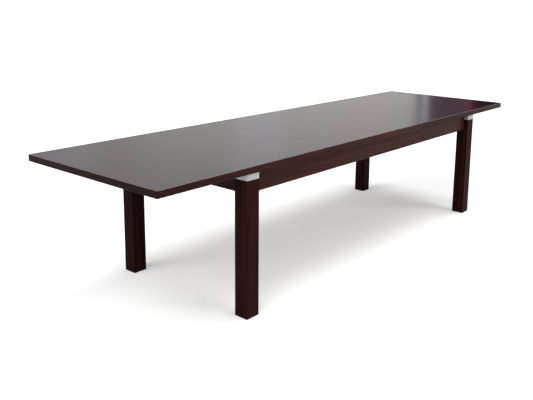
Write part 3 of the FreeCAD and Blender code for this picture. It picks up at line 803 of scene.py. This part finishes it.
def cross_screw(name, radius, height):
    """A pan head on the level z = 0, facing up, with a cross recess."""
    bm = bmesh.new()
    bmesh.ops.create_circle(bm, cap_ends=True, segments=HEAD_SIDES, radius=radius)
    drawn = bmesh.ops.extrude_face_region(bm, geom=bm.faces[:])["geom"]
    bmesh.ops.translate(bm, vec=(0, 0, height), verts=corners(drawn))
    rim = [e for e in bm.edges if all(close_to(v.co.z, height) for v in e.verts)]
    bmesh.ops.bevel(bm, geom=rim, affect="EDGES", offset=RIM_ROUND * height, segments=3, profile=0.5,
                    material=-1)
    bmesh.ops.recalc_face_normals(bm, faces=bm.faces)

    def face_of_head():
        return [f for f in bm.faces if f.normal.z > LEVEL and close_to(f.calc_center_median().z, height)]

    arm, width = ARM_REACH * radius, ARM_WIDTH * radius
    for axis in (Vector((1, 0, 0)), Vector((0, 1, 0))):
        for offset in (-arm, -width, width, arm):
            faces = face_of_head()
            edges = list({e for f in faces for e in f.edges})
            verts = list({v for f in faces for v in f.verts})
            bmesh.ops.bisect_plane(bm, geom=verts + edges + faces, plane_co=offset * axis, plane_no=axis)
    cross = []
    for face in face_of_head():
        near, far = sorted(abs(value) for value in face.calc_center_median().xy)
        if near < width and far < arm:
            cross.append(face)
    sunk = bmesh.ops.extrude_face_region(bm, geom=cross)["geom"]
    bmesh.ops.delete(bm, geom=cross, context="FACES_ONLY")
    bmesh.ops.translate(bm, vec=(0, 0, -SUNK * height), verts=corners(sunk))
    bmesh.ops.recalc_face_normals(bm, faces=bm.faces)
    for face in bm.faces:
        face.smooth = UPRIGHT < face.normal.z < LEVEL
    shape = bpy.data.meshes.new(name)
    bm.to_mesh(shape)
    bm.free()
    return shape


WOOD_SCREW = cross_screw("wood_screw", radius=0.0040, height=0.0020)
PLATE_SCREW = cross_screw("plate_screw", radius=0.0023, height=0.0013)
print("faces of a screw:", len(WOOD_SCREW.polygons))

# %% [markdown]
# ## Screws in the plates and battens
# The one screw is stamped wherever one is needed, each turned a little further, as hands leave them.
# All the screws of a group go into one mesh. Their places are taken from the boxes of the plates and
# battens, so they sit on the metal and the wood and not near them.

# %% Screw places
TURN_STEP = 0.7


def screws_piece(name, body, shape, places):
    """One piece of many screws: each place is a point on a surface and the way that it faces."""
    bm = bmesh.new()
    for number, (point, outwards) in enumerate(places):
        before = len(bm.verts)
        bm.from_mesh(shape)
        bm.verts.ensure_lookup_table()
        turn = Matrix.Rotation(TURN_STEP * number, 4, "Z")
        facing = Vector(outwards).to_track_quat("Z", "Y").to_matrix().to_4x4()
        bmesh.ops.transform(bm, matrix=Matrix.Translation(point) @ facing @ turn, verts=bm.verts[before:])
    print(name, "has", len(places), "screws")
    return make_piece(name, bm, [zinc], body)


PLATE_THICKNESS = 0.0025
FLANGE_MIDDLE = 0.018
PLATE_SCREW_LEVELS = (0.25, 0.75)
plate_places = []
for corner in LEG_PLANKS:
    low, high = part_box("corner_plate_" + corner)
    front, left = "front" in corner, "left" in corner
    apron_y, inner_y = (low.y, high.y) if front else (high.y, low.y)
    apron_x, inner_x = (low.x, high.x) if left else (high.x, low.x)
    to_x, to_y = (1 if left else -1), (1 if front else -1)
    for share in PLATE_SCREW_LEVELS:
        z = low.z + share * (high.z - low.z)
        plate_places += [
            ((inner_x - to_x * FLANGE_MIDDLE, apron_y + to_y * PLATE_THICKNESS, z), (0, to_y, 0)),
            ((apron_x + to_x * PLATE_THICKNESS, inner_y - to_y * FLANGE_MIDDLE, z), (to_x, 0, 0)),
        ]
screws_piece("corner_plate_screws", "frame", WOOD_SCREW, plate_places)

BATTEN_INSET = 0.095
BATTEN_SCREWS_Y = (-0.33, 0.0, 0.33)
for leaf in ("leaf_left", "leaf_right"):
    low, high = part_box(leaf + "_panel")
    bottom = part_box(leaf + "_battens")[0].z
    screws_piece(leaf + "_batten_screws", leaf, WOOD_SCREW, [
        ((x, y, bottom), (0, 0, -1)) for x in (low.x + BATTEN_INSET, high.x - BATTEN_INSET)
        for y in BATTEN_SCREWS_Y])

# %% [markdown]
# ## Screws in the catches
# Under each seam two hook catches pull the boards together. A catch has a base on one board and a
# keeper on the next, and two small screws hold each of them. They ride on the board that carries the
# plate, so they go along when the board slides or is lifted.

# %% Catch screws
CATCH_Y = 0.220
SCREW_SPREAD = 0.008
BASE_SCREW, KEEPER_SCREW = 0.0455, 0.0372
CATCH_PLATE = 0.0020
HALF_GAP = 0.0003
SEAM_X = {"left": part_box("leaf_left_panel")[0].x - HALF_GAP, "middle": 0.0,
          "right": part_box("leaf_right_panel")[1].x + HALF_GAP}


def catch_places(seam, towards, reach):
    """Two screws on a plate in front and two behind; the plate lies that way from its seam."""
    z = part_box("leaf_left_panel")[0].z - CATCH_PLATE
    return [((SEAM_X[seam] + towards * reach, side * CATCH_Y + step, z), (0, 0, -1))
            for side in (-1, 1) for step in (-SCREW_SPREAD, SCREW_SPREAD)]


screws_piece("left_half_catch_screws", "left_half", PLATE_SCREW, catch_places("left", -1, BASE_SCREW))
screws_piece("right_half_catch_screws", "right_half", PLATE_SCREW, catch_places("right", 1, BASE_SCREW))
screws_piece("leaf_left_catch_screws", "leaf_left", PLATE_SCREW,
             catch_places("left", 1, KEEPER_SCREW) + catch_places("middle", -1, BASE_SCREW))
screws_piece("leaf_right_keeper_screws", "leaf_right", PLATE_SCREW,
             catch_places("middle", 1, KEEPER_SCREW) + catch_places("right", -1, KEEPER_SCREW))
